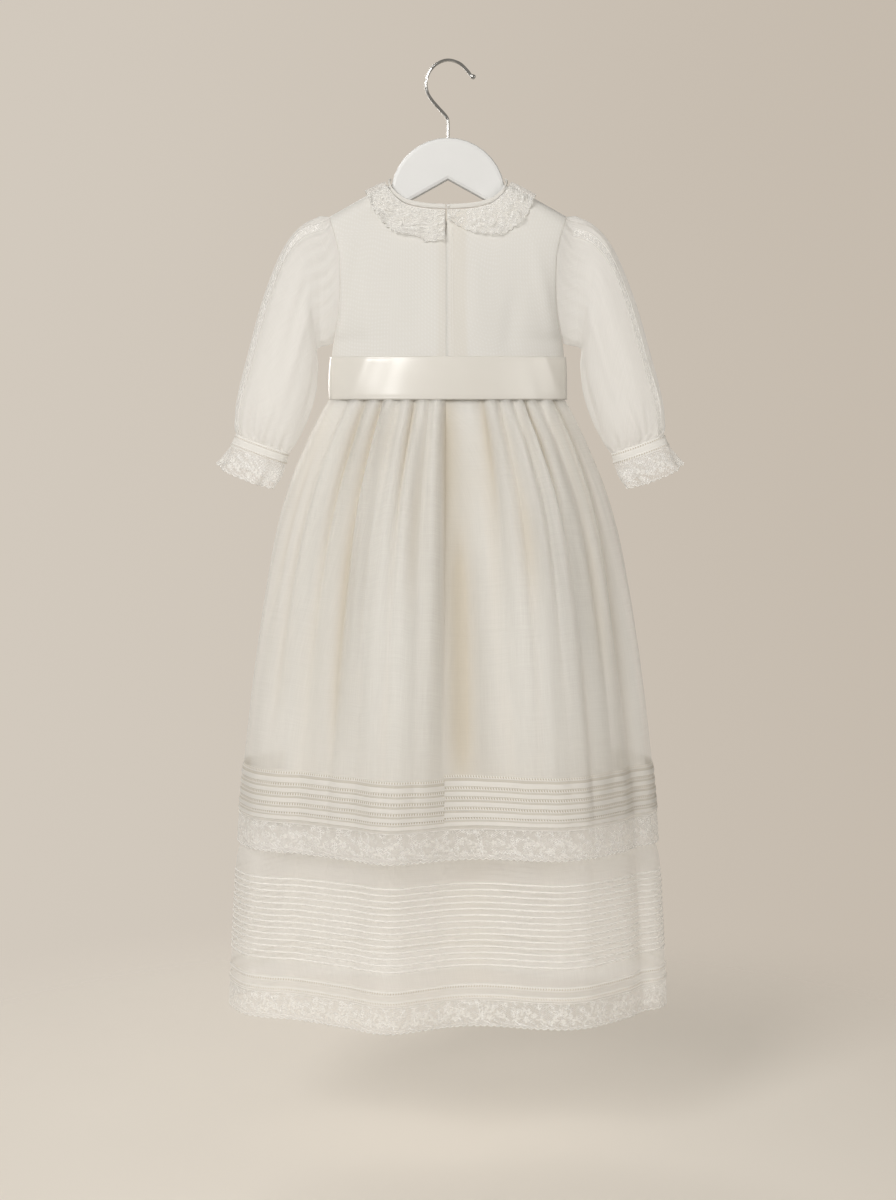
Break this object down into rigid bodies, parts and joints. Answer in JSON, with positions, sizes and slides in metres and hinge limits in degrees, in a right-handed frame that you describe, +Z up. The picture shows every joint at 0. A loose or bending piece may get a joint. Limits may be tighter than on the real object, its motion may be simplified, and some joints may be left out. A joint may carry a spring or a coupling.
{
  "type": "christening gown on a hanger",
  "caption": "Long-sleeved baby's christening gown of sheer organza over a lining, with tucked tiers, lace edges and a satin sash, on a child's hanger.",
  "frame": {"origin": "inside top of the hook, where it rests on a rod", "axes": "+Z up along the hook's shank; the gown's back faces -Y and its front +Y; the wearer's right is +X"},
  "size_m": [0.4638, 0.2538, 0.9398],
  "materials": {
    "organza": "sheer ivory organza",
    "lined_organza": "ivory organza mounted on an opaque lining",
    "lining": "opaque ivory lining",
    "satin": "ivory satin with a soft sheen",
    "lace": "ivory net lace",
    "white_paint": "white paint, half gloss",
    "chrome": "polished wire"
  },
  "bodies": {
    "root": {"bodice_front": "lined_organza", "bodice_back_left": "lined_organza", "bodice_back_right": "lined_organza", "neckband": "lined_organza", "collar_left": "lace", "collar_right": "lace", "sleeve_left": "organza", "sleeve_right": "organza", "cuff_left": "lace", "cuff_right": "lace", "cuff_lace_left": "lace", "cuff_lace_right": "lace", "sash_front": "satin", "sash_back": "satin", "overskirt_front": "organza", "overskirt_back_left": "organza", "overskirt_back_right": "organza", "overskirt_lace": "lace", "underskirt_front": "organza", "underskirt_back": "organza", "hem_band": "lace", "hem_lace": "lace", "lining_skirt": "lining", "hanger": "white_paint", "hook": "chrome"}
  },
  "joints": []
}
